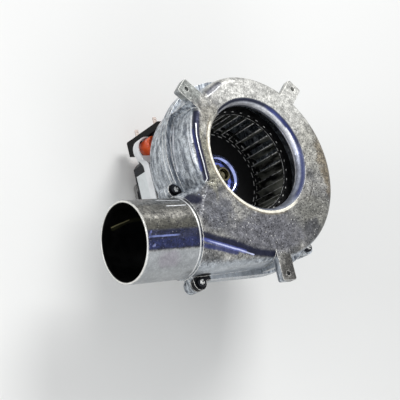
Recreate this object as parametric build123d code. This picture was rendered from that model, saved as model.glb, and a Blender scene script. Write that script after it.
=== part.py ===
from build123d import *
import math
import os

# Boiler fan: snail casing with an arm-mounted inlet face, a pipe outlet and a shaded-pole motor.
# Millimetres. The origin is the centre of the inlet on the mounting face, +Z comes out of the
# inlet along the shaft, and the outlet pipe points towards -X.

# Casing depth and walls
WALL = 2.5
COLLAR_STEP = 0.8
PIPE_R = 30.0
PIPE_WALL = 2.0
PIPE_Y = -54.4
HALF_DEPTH = PIPE_R + COLLAR_STEP
DEPTH = 2.0 * HALF_DEPTH
SPLIT_Z = -HALF_DEPTH
DRAFT_DEG = 4.0
EDGE_R = 6.0

# Scroll outline at the split plane: three tangent arcs about offset centres
SCROLL_LEFT = 63.0
SCROLL_TOP = 67.3
SCROLL_RIGHT = 75.0
SCROLL_BOTTOM = 84.4
UPPER_X = 0.8
RIGHT_Y = UPPER_X + SCROLL_TOP - SCROLL_RIGHT
UPPER_R = SCROLL_LEFT + UPPER_X
UPPER_SWEEP = 128.0
UPPER_Y = SCROLL_TOP - UPPER_R
RIGHT_R = SCROLL_RIGHT - UPPER_X
LOWER_R = SCROLL_BOTTOM + RIGHT_Y
LOWER_X = SCROLL_RIGHT - LOWER_R

# Outlet duct sections along X
DUCT_END_X = -72.0
DUCT_MID_X = -57.0
DUCT_TOP_Y = -20.5
DUCT_TOP_R = 3.0
DUCT_LOW_R = 24.0
DUCT_FLAT = 1.0
PIPE_MOUTH_X = -119.7
NECK_L = 7.0
NECK_WALL = 1.4
MOUTH_CHAMFER = 0.6

# Joint flange, its lugs and the casing screws: X, Y, direction to the body, side of the head
FLANGE_OVER = 4.2
FLANGE_T = 4.5
LUG_R = 5.6
LUG_FLARE = 2.0
LUG_BOSS = 9.5
LUGS = [(-67.7, -18.5, 315.0, 1), (-64.1, -89.9, 90.0, 1), (49.4, -70.8, 128.0, 1),
        (80.1, 7.1, 188.0, 1), (41.0, 62.8, 240.0, -1)]
CASE_SCREW_R = 2.0
CASE_HEAD_R = 3.6
CASE_HEAD_H = 2.4
CASE_SCREW_L = 12.0
SCREW_SLACK = 0.2
DRIVE_DEPTH = 1.2

# Inlet lip
INLET_FACE_R = 46.5
INLET_LIP = 3.8
INLET_LIP_R = 10.0
INLET_STRAIGHT = 0.5
INLET_THROAT_R = INLET_FACE_R - INLET_LIP
INLET_TURN_Z = -math.sqrt(INLET_LIP_R ** 2 - (INLET_LIP_R - INLET_LIP) ** 2)
INLET_END_Z = INLET_TURN_Z - INLET_STRAIGHT

# Mounting arms: direction, hole radius from the axis, end radius, rib width, rib reach
ARM_T = 6.0
ARM_ROOT_R = 54.0
ARM_SEAT_GAP = 0.8
ARM_W = 13.2
ARM_TIP_R = 1.5
ARM_HOLE_R = 1.9
ARMS = [(136.5, 75.6, 81.0, 13.2, 69.0), (45.6, 76.9, 82.0, 4.0, 73.0),
        (269.0, 95.4, 100.6, 4.0, 88.0)]

# Impeller
BLADES = 33
BLADE_START = -1.1
BLADE_IN_R = 40.2
BLADE_DEPTH = 7.4
BLADE_OUT_R = BLADE_IN_R + BLADE_DEPTH
BLADE_SWEEP = 6.0
BLADE_BULGE = 1.3
BLADE_T = 0.7
SHEET_T = 1.0
RING_IN_R = BLADE_IN_R
RING_OUT_R = BLADE_OUT_R + 1.0
RING_TOP_Z = -19.2
DISC_CLEAR = 6.4
DISC_TOP_Z = DISC_CLEAR - DEPTH
TAB_R = BLADE_IN_R + 2.1
TAB_L = 4.6
TAB_W = 1.2
TAB_H = 0.8
TAB_SLACK = 0.15

# Impeller hub
DOME_OUT_R = 19.4
DOME_IN_R = 12.6
DOME_TOP_Z = DISC_TOP_Z + 6.0
DOME_FLOOR_T = 1.0
BOSS_R = 6.1
BOSS_TOP_Z = DISC_TOP_Z + 10.2
BOSS_FLANGE_R = 17.0
BOSS_FLANGE_T = 1.2
NUT_POCKET_R = 4.5
NUT_POCKET_Z = DISC_TOP_Z + 3.7
NUT_H = 3.2
NUT_FLATS = 7.0
RIVET_PITCH_R = 0.5 * (BOSS_R + DOME_IN_R)
RIVET_R = 1.3
RIVET_HEAD_R = 2.3
RIVET_HEAD_H = 0.8
RIVETS = 5

# Shaft, seal and bearings
SHAFT_R = 3.0
SHAFT_THREAD_R = 2.0
THREAD_PROUD = 1.7
SHAFT_TOP_Z = NUT_POCKET_Z + NUT_H + THREAD_PROUD
SHAFT_PROUD = 11.0
RUN_GAP = 0.03
WALL_HOLE_R = 3.8
SEAL_R = 9.0
SEAL_T = 3.2
SEAL_BOSS_R = 15.0
SEAL_BOSS_H = 4.0
SEAL_PLATE_T = 1.2
SEAL_SCREW_PITCH_R = 12.0
SEAL_SCREW_R = 1.5
SEAL_SCREWS = 3
BEARING_R = 6.5
BEARING_L = 8.0
CLIP_T = 0.5
CLIP_IN_R = 5.4
END_PLAY = 0.3

# Motor stack
MOTOR_GAP = 22.9
STACK_TOP_Z = -DEPTH - MOTOR_GAP
STACK_T = 22.0
STACK_LOW_Z = STACK_TOP_Z - STACK_T
SHAFT_END_Z = STACK_LOW_Z - SHAFT_PROUD
STACK_X = 41.0
STACK_LOW_Y = -30.0
STACK_HIGH_Y = 31.0
LEG_IN_X = 29.0
WINDOW_Y = STACK_HIGH_Y - 10.0
STACK_CHAMFER = 4.0
BORE_R = 14.4
POLE_SLOT = 5.0
POLE_BRIDGE = 1.4
SHADE_BAR = 1.8
SHADE_END = 1.6
SHADE_Y = 17.2
SHADE_IN_X = 1.4
SHADE_OUT_X = 10.6
ROTOR_R = 14.0
ROTOR_INSET = 2.0
END_RING_IN_R = 8.0
END_RING_OUT_R = 13.5
END_RING_T = 3.0
SPACER_R = 5.0
MOTOR_SCREW_AT = [(35.0, -22.0), (35.0, 12.0), (-35.0, 12.0), (-35.0, -22.0)]
MOTOR_SCREW_R = 2.0
MOTOR_HEAD_R = 3.6
MOTOR_HEAD_H = 2.4
PILLAR_R = 5.0
PILLAR_THREAD = 12.0

# Motor brackets
BRACKET_GAP = 3.0
BRACKET_T = 3.5
BRACKET_X = 40.5
BRACKET_LOW_Y = -27.5
BRACKET_HIGH_Y = 17.5
BRACKET_FOOT_R = 5.0
BRACKET_WINDOW = (15.0, 26.0, 4.0)
BRACKET_WINDOW_X = 21.0
CUP_R = 9.5
CUP_WALL = 1.0
CUP_HOLE_R = 4.0

# Coil, its bobbin and its terminals
BAR_T = 9.0
COIL_X = 27.0
BAR_X = COIL_X + 7.0
BOBBIN_WALL = 1.0
BOBBIN_TAB_LAP = 5.0
BOBBIN_TAB_W = 24.0
COIL_T = 6.0
COIL_CORNER_R = 6.5
CHEEK_T = 1.5
CHEEK_OVER = 1.5
CARRIER_X = -COIL_X - 11.0
COLUMN_LOW_Y = STACK_HIGH_Y + BAR_T
CARRIER_LOW_Y = COLUMN_LOW_Y + 7.5
CARRIER_HIGH_Y = CARRIER_LOW_Y + 5.5
CARRIER_REAR_Z = STACK_LOW_Z - 5.0
CARRIER_FRONT_Z = STACK_TOP_Z + 20.0
COLUMN_FRONT_Z = STACK_LOW_Z + 2.0
TERMINAL_X = -COIL_X - 8.0
TERMINAL_AT_Z = [STACK_TOP_Z - 14.0, STACK_TOP_Z + 13.0]
TERMINAL_W = 3.4
TERMINAL_T = 0.8
TERMINAL_TOP_Y = CARRIER_HIGH_Y + 6.4
TERMINAL_ROOT = 4.0
TURNS_X = -COIL_X - 10.4
TURNS_Y = STACK_HIGH_Y + 7.2
TURNS_R = 6.9
TURNS_REAR_Z = STACK_TOP_Z - 4.5
TURNS_FRONT_Z = STACK_TOP_Z + 9.5
TURNS_SLACK = 0.3
GUARD_X = TURNS_X - 0.6
GUARD_Y = TURNS_Y - 1.9
GUARD_R = 10.4
GUARD_T = 1.2
GUARD_REAR_Z = STACK_TOP_Z - 6.0
GUARD_FRONT_Z = STACK_TOP_Z + 1.2
GUARD_END_Y = -12.0
GUARD_FLOOR_Y = STACK_HIGH_Y - 5.7
GUARD_FLOOR_OUT = 5.0
GUARD_FLOOR_DROP = 3.5
GUARD_FLOOR_STEP = 0.5
GUARD_LAP = 2.0
GUARD_TURN = 6.5
LABEL_T = 0.3
LABEL_SIZE_Y = (-12.0, 20.0)
LABEL_SIZE_Z = (STACK_LOW_Z + 2.5, STACK_TOP_Z - 7.0)


def profile_corner(reach: float, height: float, lean: float, inset: float) -> Sketch:
    """Half section of a drafted wall from the centre outwards, its top edge rounded.

    In the cavity the edge is bevelled instead, as far in as keeps the wall at the rounding.
    """
    sketch = Sketch() + make_face(Polyline((0, 0), (reach, 0), (reach - lean, height), (0, height),
                                           close=True))
    outer = [v for v in sketch.vertices() if v.X > 1.0 and v.Y > 1.0]
    if inset > 0:
        return chamfer(outer, (2.0 - math.sqrt(2.0)) * (EDGE_R - inset))
    return fillet(outer, EDGE_R)


def scroll_sector(x: float, y: float, reach: float, start: float, sweep: float,
                  inset: float) -> Part:
    """One arc of the scroll, turned about its own centre, standing on the split plane."""
    height = HALF_DEPTH - inset
    lean = height * math.tan(math.radians(DRAFT_DEG))
    section = Plane.XZ * profile_corner(reach - inset, height, lean, inset)
    turned = revolve(section, Axis.Z, sweep)
    return Location((x, y, SPLIT_Z), (0, 0, start)) * turned


def duct_section(x: float, low: float, high: float, low_r: float, high_r: float, top: float,
                 lean: float) -> Sketch:
    """Front half of a duct section on the plane at x, its open side on the split plane.

    low and high are its limits along Y, top is its height above the split plane, and lean is how
    far the side walls lean inwards over that height.
    """
    sketch = Sketch() + make_face(Polyline((low, 0), (high, 0), (high - lean, top),
                                           (low + lean, top), close=True))
    low_corner = [v for v in sketch.vertices() if v.Y > 1.0 and v.X < 0.5 * (low + high)]
    sketch = fillet(low_corner, low_r)
    high_corner = [v for v in sketch.vertices()
                   if abs(v.Y - top) < 1e-5 and abs(v.X - high + lean) < 1e-5]
    sketch = fillet(high_corner, high_r)
    return Plane(origin=(x, 0, SPLIT_Z), x_dir=(0, 1, 0), z_dir=(1, 0, 0)) * sketch


def half_body(inset: float) -> Part:
    """Front half of the casing's outer body, or of its cavity when inset by the wall."""
    height = HALF_DEPTH - inset
    lean = height * math.tan(math.radians(DRAFT_DEG))
    edge_r = EDGE_R - 0.8 * inset
    scroll = scroll_sector(LOWER_X, RIGHT_Y, LOWER_R, -90, 90, inset)
    scroll += scroll_sector(UPPER_X, RIGHT_Y, RIGHT_R, 0, 90, inset)
    scroll += scroll_sector(UPPER_X, UPPER_Y, UPPER_R, 90, UPPER_SWEEP, inset)
    core_x = UPPER_X - 0.64 * UPPER_R
    core_y = DUCT_TOP_Y - 8.0
    scroll += block((core_x, core_y, SPLIT_Z), (UPPER_X + 4.0, UPPER_Y + 8.0, SPLIT_Z + height))
    end = PIPE_R + COLLAR_STEP - inset
    corner = end - 0.5 * DUCT_FLAT
    top_y = DUCT_TOP_Y - inset
    mouth = duct_section(DUCT_END_X, PIPE_Y - end, PIPE_Y + end, corner, corner, height, 0.0)
    middle = duct_section(DUCT_MID_X, PIPE_Y - end, top_y, DUCT_LOW_R - inset, DUCT_TOP_R,
                          height, 0.5)
    deep = duct_section(LOWER_X, -SCROLL_BOTTOM + inset, top_y, edge_r, DUCT_TOP_R, height, lean)
    scroll += loft([mouth.face(), middle.face()], ruled=True)
    scroll += loft([middle.face(), deep.face()], ruled=True)
    return scroll


def rod(radius: float, low: float, high: float, x: float = 0.0, y: float = 0.0) -> Part:
    """Upright cylinder between two heights."""
    return Location((x, y, low)) * Cylinder(radius, high - low,
                                            align=(Align.CENTER, Align.CENTER, Align.MIN))


def block(low: tuple, high: tuple) -> Part:
    """Box between two opposite corners."""
    size = [b - a for a, b in zip(low, high)]
    return Location(low) * Box(*size, align=(Align.MIN, Align.MIN, Align.MIN))


def lathe(points: list) -> Part:
    """Solid turned about the shaft from a closed outline of (radius, height) points."""
    return revolve(Plane.XZ * make_face(Polyline(*points, close=True)), Axis.Z, 360)


def plate(sketch: Sketch, low: float, high: float) -> Part:
    """Sketch pulled up between two heights."""
    return extrude(Plane.XY.offset(low) * sketch, high - low)


def polar(radius: float, degrees: float) -> tuple:
    """Point at a radius and direction about the shaft."""
    return radius * math.cos(math.radians(degrees)), radius * math.sin(math.radians(degrees))


def around(shape: Part, count: int, first: float = 0.0) -> list:
    """Copies of a shape evenly turned about the shaft."""
    return [Location((0, 0, 0), (0, 0, first + 360.0 * i / count)) * shape for i in range(count)]


def pan_screw(radius: float, length: float, head_r: float, head_h: float) -> Part:
    """Cross-recess pan-head screw: the underside of its head at zero, its shank below."""
    screw = rod(radius, -length, 0)
    screw += chamfer(rod(head_r, 0, head_h).edges().group_by(Axis.Z)[-1], 0.3 * head_h)
    for angle in (0, 90):
        slot = Box(1.25 * head_r, 0.3 * head_r, 2 * DRIVE_DEPTH)
        screw -= Location((0, 0, head_h), (0, 0, angle)) * slot
    return screw


def scroll_plan(grow: float) -> Sketch:
    """Plan of the scroll at the split plane, grown outwards by the amount."""
    lower = LOWER_R + grow
    right = RIGHT_R + grow
    upper = UPPER_R + grow
    arcs = [CenterArc((LOWER_X, RIGHT_Y), lower, -90, 90), CenterArc((UPPER_X, RIGHT_Y), right, 0, 90),
            CenterArc((UPPER_X, UPPER_Y), upper, 90, UPPER_SWEEP - 16.0)]
    inside_y = 0.5 * (DUCT_TOP_Y + PIPE_Y)
    far = (UPPER_X - 0.75 * UPPER_R, inside_y)
    near = (LOWER_X, inside_y)
    lines = [Line(arcs[2] @ 1, far), Line(far, near), Line(near, arcs[0] @ 0)]
    return Sketch() + make_face(arcs + lines)


def flange_plan() -> Sketch:
    """Joint flange seen from the inlet: scroll, duct and screw lugs."""
    low = PIPE_Y - HALF_DEPTH - 0.8 * FLANGE_OVER
    duct = Polyline((LOWER_X, -SCROLL_BOTTOM - FLANGE_OVER), (LOWER_X, DUCT_TOP_Y + FLANGE_OVER),
                    (DUCT_END_X + 2.0, DUCT_TOP_Y + FLANGE_OVER), (DUCT_END_X + 2.0, low), close=True)
    sketch = scroll_plan(FLANGE_OVER) + make_face(duct)
    for x, y, angle, _ in LUGS:
        wide = LUG_R + LUG_FLARE
        neck = make_face(Polyline((0, -LUG_R), (wide + 3.0, -wide), (wide + 3.0, wide), (0, LUG_R),
                                  close=True))
        sketch += Location((x, y, 0), (0, 0, angle)) * (Circle(LUG_R) + neck)
    return sketch


def lug_boss(side: int) -> list:
    """Deeper part of each lug that takes the screw's thread, on the side away from its head."""
    bosses = []
    for x, y, angle, head in LUGS:
        if head != side:
            neck = Rectangle(LUG_R + LUG_FLARE + 3.0, 1.4 * LUG_R, align=(Align.MIN, Align.CENTER))
            sketch = Location((x, y, 0), (0, 0, angle)) * (Circle(LUG_R) + neck)
            low = SPLIT_Z if side > 0 else SPLIT_Z - LUG_BOSS
            bosses.append(plate(sketch, low, low + LUG_BOSS))
    return bosses


def lug_holes(side: int) -> list:
    """Clearance hole under a screw's head, thread hole on the other side."""
    holes = []
    for x, y, _, head in LUGS:
        radius = CASE_SCREW_R + SCREW_SLACK if head == side else CASE_SCREW_R
        depth = FLANGE_T + 1.0 if head == side else LUG_BOSS - 1.5
        low, high = (SPLIT_Z, SPLIT_Z + depth) if side > 0 else (SPLIT_Z - depth, SPLIT_Z)
        holes.append(rod(radius, low, high, x, y))
    return holes


def head_spaces(side: int) -> list:
    """Room above each lug for the screw head, cut from whatever stands over it."""
    spaces = []
    for x, y, _, head in LUGS:
        if head == side:
            low = SPLIT_Z + FLANGE_T if side > 0 else SPLIT_Z - FLANGE_T - 9.0
            spaces.append(rod(CASE_HEAD_R + 1.0, low, low + 9.0, x, y))
    return spaces


def arm(angle: float, hole_r: float, end_r: float, rib_w: float, rib_reach: float) -> Part:
    """Mounting arm flush with the inlet face, with the rib that ties it back to the flange."""
    bar = Rectangle(end_r - ARM_ROOT_R, ARM_W, align=(Align.MIN, Align.CENTER))
    bar = fillet(bar.vertices().group_by(Axis.X)[-1], ARM_TIP_R)
    solid = plate(Location((ARM_ROOT_R, 0)) * bar, -ARM_T, 0)
    rib = make_face(Polyline((ARM_ROOT_R, -1), (rib_reach, -ARM_T), (rib_reach - 1.0, SPLIT_Z + 1.0),
                             (ARM_ROOT_R, SPLIT_Z + 1.0), close=True))
    solid += extrude(Plane.XZ * rib, 0.5 * rib_w, both=True)
    solid -= rod(ARM_HOLE_R, -ARM_T - 1, 1, hole_r, 0)
    return Location((0, 0, 0), (0, 0, angle)) * solid


def arm_seat(angle: float) -> float:
    """Distance from the shaft at which an arm stands clear of the casting's wall."""
    x, y, radius = UPPER_X, UPPER_Y, UPPER_R
    if angle < 90:
        y, radius = RIGHT_Y, RIGHT_R
    if angle > 180:
        x, y, radius = LOWER_X, RIGHT_Y, LOWER_R
    along_x, along_y = polar(1.0, angle)
    across = x * along_y - y * along_x
    return x * along_x + y * along_y + math.sqrt(radius ** 2 - across ** 2) + ARM_SEAT_GAP


def arm_room(angle: float, end_r: float) -> Part:
    """Space outside the wall and above the flange that an arm stands in, past its seat."""
    room = block((arm_seat(angle), -ARM_W, SPLIT_Z + FLANGE_T), (2.0 * end_r, ARM_W, 1.0))
    return Location((0, 0, 0), (0, 0, angle)) * room


def mounting_arms() -> list:
    """The three arms from their seats on the casting outwards."""
    return [arm(*values) & arm_room(values[0], values[2]) for values in ARMS]


def inlet_lip() -> Part:
    """Rounded inlet lip turned inwards from the face."""
    middle = (INLET_THROAT_R + INLET_LIP_R, INLET_TURN_Z)
    front = math.degrees(math.acos((INLET_LIP_R - INLET_LIP) / INLET_LIP_R))
    back = math.degrees(math.asin((-WALL - INLET_TURN_Z) / (INLET_LIP_R - WALL)))
    outside = CenterArc(middle, INLET_LIP_R, 180, -front)
    inside = CenterArc(middle, INLET_LIP_R - WALL, 180, -back)
    root_r = INLET_FACE_R + 2.0
    profile = [
        outside,
        Line(outside @ 0, (INLET_THROAT_R, INLET_END_Z)),
        Line((INLET_THROAT_R, INLET_END_Z), (INLET_THROAT_R + WALL, INLET_END_Z)),
        Line((INLET_THROAT_R + WALL, INLET_END_Z), inside @ 0),
        inside,
        Line(inside @ 1, (root_r, -WALL)),
        Line((root_r, -WALL), (root_r, 0)),
        Line((root_r, 0), outside @ 1),
    ]
    return revolve(Plane.XZ * make_face(profile), Axis.Z, 360)


def outlet_bore() -> Part:
    """Seat for the neck of the outlet pipe in the two shells."""
    radius = HALF_DEPTH - WALL
    seat = Cylinder(radius, NECK_L + 1.0, align=(Align.CENTER, Align.CENTER, Align.MIN))
    return Location((DUCT_END_X - 1.0, PIPE_Y, SPLIT_Z), (0, 90, 0)) * seat


def front_shell(outer: Part, cavity: Part) -> Part:
    """Inlet half of the casing with the face, lip, arm roots and front flange."""
    shell = outer + plate(flange_plan(), SPLIT_Z, SPLIT_Z + FLANGE_T)
    for values in ARMS:
        shell += arm(*values) - arm_room(values[0], values[2])
    for boss in lug_boss(1):
        shell += boss
    shell -= cavity
    shell -= rod(INLET_FACE_R, -WALL - 1, 1)
    shell += inlet_lip()
    shell -= outlet_bore()
    for cut in lug_holes(1) + head_spaces(1):
        shell -= cut
    return shell


def rear_shell(outer: Part, cavity: Part) -> Part:
    """Motor half of the casing with the rear flange, shaft seal boss and motor pillars."""
    split = Plane.XY.offset(SPLIT_Z)
    shell = mirror(outer, split) + plate(flange_plan(), SPLIT_Z - FLANGE_T, SPLIT_Z)
    for boss in lug_boss(-1):
        shell += boss
    shell += rod(SEAL_BOSS_R, -DEPTH - SEAL_BOSS_H, -DEPTH + 0.5)
    pillar_end = STACK_TOP_Z + BRACKET_GAP + BRACKET_T
    for x, y in MOTOR_SCREW_AT:
        foot = Cone(PILLAR_R, PILLAR_R + 2.0, 4.0, align=(Align.CENTER, Align.CENTER, Align.MIN))
        shell += rod(PILLAR_R, pillar_end, -DEPTH + 0.5, x, y) + Location((x, y, -DEPTH - 4.0)) * foot
    shell -= mirror(cavity, split)
    shell -= outlet_bore()
    seat = -DEPTH - SEAL_BOSS_H
    shell -= rod(WALL_HOLE_R, seat - 1, -DEPTH + WALL + 1)
    shell -= rod(SEAL_R, seat - 1, seat + SEAL_T)
    for x, y in MOTOR_SCREW_AT:
        shell -= rod(MOTOR_SCREW_R, pillar_end - 1, pillar_end + PILLAR_THREAD, x, y)
    for hole in around(rod(SEAL_SCREW_R, seat - 1, seat + 5.0, SEAL_SCREW_PITCH_R, 0), SEAL_SCREWS, 90):
        shell -= hole
    for cut in lug_holes(-1) + head_spaces(-1):
        shell -= cut
    return shell


def outlet_spigot() -> Part:
    """Outlet pipe with the thinner neck that seats in the shells."""
    neck_r = HALF_DEPTH - WALL
    neck_end = DUCT_END_X + NECK_L
    inner = PIPE_R - PIPE_WALL
    points = [(inner, PIPE_MOUTH_X), (PIPE_R, PIPE_MOUTH_X), (PIPE_R, DUCT_END_X),
              (neck_r, DUCT_END_X), (neck_r, neck_end), (neck_r - NECK_WALL, neck_end),
              (neck_r - NECK_WALL, DUCT_END_X - 3.0), (inner, DUCT_END_X - 6.0)]
    pipe = lathe(points)
    pipe = chamfer(pipe.edges().group_by(Axis.Z)[0], MOUTH_CHAMFER)
    return Location((0, PIPE_Y, SPLIT_Z)) * (Location((0, 0, 0), (0, 90, 0)) * pipe)


def casing_screws() -> list:
    """Screws that clamp the shells through their lugs."""
    screws = []
    screw = pan_screw(CASE_SCREW_R, CASE_SCREW_L, CASE_HEAD_R, CASE_HEAD_H)
    for x, y, angle, side in LUGS:
        flip = 0 if side > 0 else 180
        screws.append(Location((x, y, SPLIT_Z + side * FLANGE_T), (flip, 0, angle + 25)) * screw)
    return screws


def blade_frame() -> tuple:
    """Centre, radius and end directions of the blade's arc."""
    inner = Vector(*polar(BLADE_IN_R, 0.5 * BLADE_SWEEP))
    outer = Vector(*polar(BLADE_OUT_R, -0.5 * BLADE_SWEEP))
    chord = outer - inner
    radius = chord.length ** 2 / (8.0 * BLADE_BULGE) + 0.5 * BLADE_BULGE
    normal = Vector(-chord.Y, chord.X).normalized()
    centre = inner + chord * 0.5 + normal * (BLADE_BULGE - radius)
    start = math.degrees(math.atan2(outer.Y - centre.Y, outer.X - centre.X))
    end = math.degrees(math.atan2(inner.Y - centre.Y, inner.X - centre.X))
    return centre, radius, start, end


def tab_angle() -> float:
    """Direction of the point where the blade's arc crosses the tab radius."""
    centre, radius, _, _ = blade_frame()
    reach = centre.length
    towards = math.degrees(math.atan2(centre.Y, centre.X))
    cosine = (TAB_R ** 2 + reach ** 2 - radius ** 2) / (2.0 * TAB_R * reach)
    return towards + math.degrees(math.acos(cosine))


def blade() -> Part:
    """One curved blade with a folded tab through the ring and one through the disc."""
    centre, radius, start, end = blade_frame()
    middle = (centre.X, centre.Y)
    outside = CenterArc(middle, radius + 0.5 * BLADE_T, start, end - start)
    inside = CenterArc(middle, radius - 0.5 * BLADE_T, start, end - start)
    face = make_face([outside, Line(outside @ 1, inside @ 1), inside, Line(inside @ 0, outside @ 0)])
    ring_low = RING_TOP_Z - SHEET_T
    solid = plate(Sketch() + face, DISC_TOP_Z, ring_low)
    turn = Location((0, 0, 0), (0, 0, tab_angle()))
    for low, high, fold_low in ((ring_low, RING_TOP_Z, RING_TOP_Z),
                                (DISC_TOP_Z - SHEET_T, DISC_TOP_Z, DISC_TOP_Z - SHEET_T - TAB_H)):
        neck = block((TAB_R - 0.5 * TAB_W, -0.5 * BLADE_T, low), (TAB_R + 0.5 * TAB_W, 0.5 * BLADE_T, high))
        fold = block((TAB_R - 0.5 * TAB_W, 0.5 * BLADE_T - TAB_L, fold_low),
                     (TAB_R + 0.5 * TAB_W, 0.5 * BLADE_T, fold_low + TAB_H))
        solid += turn * (neck + fold)
    return solid


def tab_slots() -> list:
    """Slots for the blade tabs, cut through both sheets."""
    half_w = 0.5 * TAB_W + TAB_SLACK
    half_t = 0.5 * BLADE_T + TAB_SLACK
    slot = block((TAB_R - half_w, -half_t, DISC_TOP_Z - 5), (TAB_R + half_w, half_t, RING_TOP_Z + 5))
    return around(Location((0, 0, 0), (0, 0, tab_angle())) * slot, BLADES, BLADE_START)


def rotor_sheet(inner: float, low: float) -> Part:
    """Flat slotted ring of the impeller."""
    sheet = rod(RING_OUT_R, low, low + SHEET_T) - rod(inner, low - 1, low + SHEET_T + 1)
    return sheet - Compound(tab_slots())


def impeller_disc() -> Part:
    """Back disc with the holes for the boss and its rivets."""
    disc = rotor_sheet(BOSS_R, DISC_TOP_Z - SHEET_T)
    return disc - Compound(around(rod(RIVET_R, DISC_TOP_Z - 5, DISC_TOP_Z + 5, RIVET_PITCH_R, 0), RIVETS))


def hub_dome() -> Part:
    """Bright pressed cap: a rounded rim round a flat floor."""
    middle = 0.5 * (DOME_OUT_R + DOME_IN_R)
    crown = 0.5 * (DOME_OUT_R - DOME_IN_R)
    profile = [Line((DOME_OUT_R, DISC_TOP_Z), (DOME_OUT_R, DOME_TOP_Z - crown)),
               CenterArc((middle, DOME_TOP_Z - crown), crown, 0, 180),
               Line((DOME_IN_R, DOME_TOP_Z - crown), (DOME_IN_R, DISC_TOP_Z + DOME_FLOOR_T)),
               Line((DOME_IN_R, DISC_TOP_Z + DOME_FLOOR_T), (BOSS_R, DISC_TOP_Z + DOME_FLOOR_T)),
               Line((BOSS_R, DISC_TOP_Z + DOME_FLOOR_T), (BOSS_R, DISC_TOP_Z)),
               Line((BOSS_R, DISC_TOP_Z), (DOME_OUT_R, DISC_TOP_Z))]
    cap = revolve(Plane.XZ * make_face(profile), Axis.Z, 360)
    return cap - Compound(around(rod(RIVET_R, DISC_TOP_Z - 5, DISC_TOP_Z + 5, RIVET_PITCH_R, 0), RIVETS))


def hub_boss() -> Part:
    """Turned boss that carries the disc on the shaft, with a pocket for the nut."""
    low = DISC_TOP_Z - SHEET_T - BOSS_FLANGE_T
    boss = rod(BOSS_FLANGE_R, low, low + BOSS_FLANGE_T) + rod(BOSS_R, low, BOSS_TOP_Z)
    boss = chamfer(boss.edges().group_by(Axis.Z)[-1], 0.5)
    boss -= rod(SHAFT_R, low - 1, NUT_POCKET_Z)
    boss -= rod(NUT_POCKET_R, NUT_POCKET_Z, BOSS_TOP_Z + 1)
    return boss - Compound(around(rod(RIVET_R, low - 1, low + 3, RIVET_PITCH_R, 0), RIVETS))


def rivets() -> list:
    """Rivets through the cap's floor, the disc and the boss flange."""
    low = DISC_TOP_Z - SHEET_T - BOSS_FLANGE_T
    high = DISC_TOP_Z + DOME_FLOOR_T
    rivet = rod(RIVET_R, low, high, RIVET_PITCH_R, 0)
    rivet += rod(RIVET_HEAD_R, high, high + RIVET_HEAD_H, RIVET_PITCH_R, 0)
    rivet += rod(RIVET_HEAD_R, low - RIVET_HEAD_H, low, RIVET_PITCH_R, 0)
    return around(rivet, RIVETS)


def hub_nut() -> Part:
    """Hexagon nut on the shaft's threaded end."""
    hexagon = RegularPolygon(NUT_FLATS / math.sqrt(3), 6)
    high = NUT_POCKET_Z + NUT_H
    return plate(hexagon, NUT_POCKET_Z, high) - rod(SHAFT_THREAD_R, NUT_POCKET_Z - 1, high + 1)


def shaft() -> Part:
    """Motor shaft with a thinner threaded end for the nut."""
    long = rod(SHAFT_R, SHAFT_END_Z, NUT_POCKET_Z) + rod(SHAFT_THREAD_R, NUT_POCKET_Z, SHAFT_TOP_Z)
    return chamfer(long.edges().group_by(Axis.Z)[0], 0.5)


def bracket(rear: bool) -> Part:
    """Die-cast bearing bracket: four feet, two windows and a bearing cup, front or rear of the stack."""
    low = STACK_TOP_Z + BRACKET_GAP
    high = low + BRACKET_T
    middle_y = 0.5 * (BRACKET_LOW_Y + BRACKET_HIGH_Y)
    outline = RectangleRounded(2 * BRACKET_X, BRACKET_HIGH_Y - BRACKET_LOW_Y, 6.0)
    window = RectangleRounded(*BRACKET_WINDOW)
    sketch = Location((0, middle_y)) * outline
    for x in (BRACKET_WINDOW_X, -BRACKET_WINDOW_X):
        sketch -= Location((x, middle_y)) * window
    solid = plate(sketch, low, high)
    for x, y in MOTOR_SCREW_AT:
        solid += rod(BRACKET_FOOT_R, STACK_TOP_Z, low, x, y)
    cup_end = low + BEARING_L + CLIP_T + CUP_WALL
    solid += rod(CUP_R, low, cup_end)
    solid -= rod(BEARING_R, low - 1, cup_end - CUP_WALL)
    if rear:
        solid += rod(CUP_R, cup_end - CUP_WALL, cup_end + 1.5)
        solid -= rod(CUP_HOLE_R, cup_end - CUP_WALL - 1, cup_end)
    else:
        solid -= rod(CUP_HOLE_R, low, cup_end + 1)
    for x, y in MOTOR_SCREW_AT:
        solid -= rod(MOTOR_SCREW_R + SCREW_SLACK, STACK_TOP_Z - 1, high + 1, x, y)
    if rear:
        solid = mirror(solid, Plane.XY.offset(STACK_TOP_Z - 0.5 * STACK_T))
    return solid


def both_ends(shape: Part) -> list:
    """A shape at the front of the stack and its mirror image at the rear."""
    return [shape, mirror(shape, Plane.XY.offset(STACK_TOP_Z - 0.5 * STACK_T))]


def bearings() -> list:
    """Plain bushes that the shaft runs in."""
    low = STACK_TOP_Z + BRACKET_GAP + CLIP_T
    bush = rod(BEARING_R, low, low + BEARING_L) - rod(SHAFT_R + RUN_GAP, low - 1, low + BEARING_L + 1)
    return both_ends(bush)


def bearing_clips() -> list:
    """Retaining rings that hold the bushes in their cups."""
    low = STACK_TOP_Z + BRACKET_GAP
    return both_ends(rod(BEARING_R, low, low + CLIP_T) - rod(CLIP_IN_R, low - 1, low + CLIP_T + 1))


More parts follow.
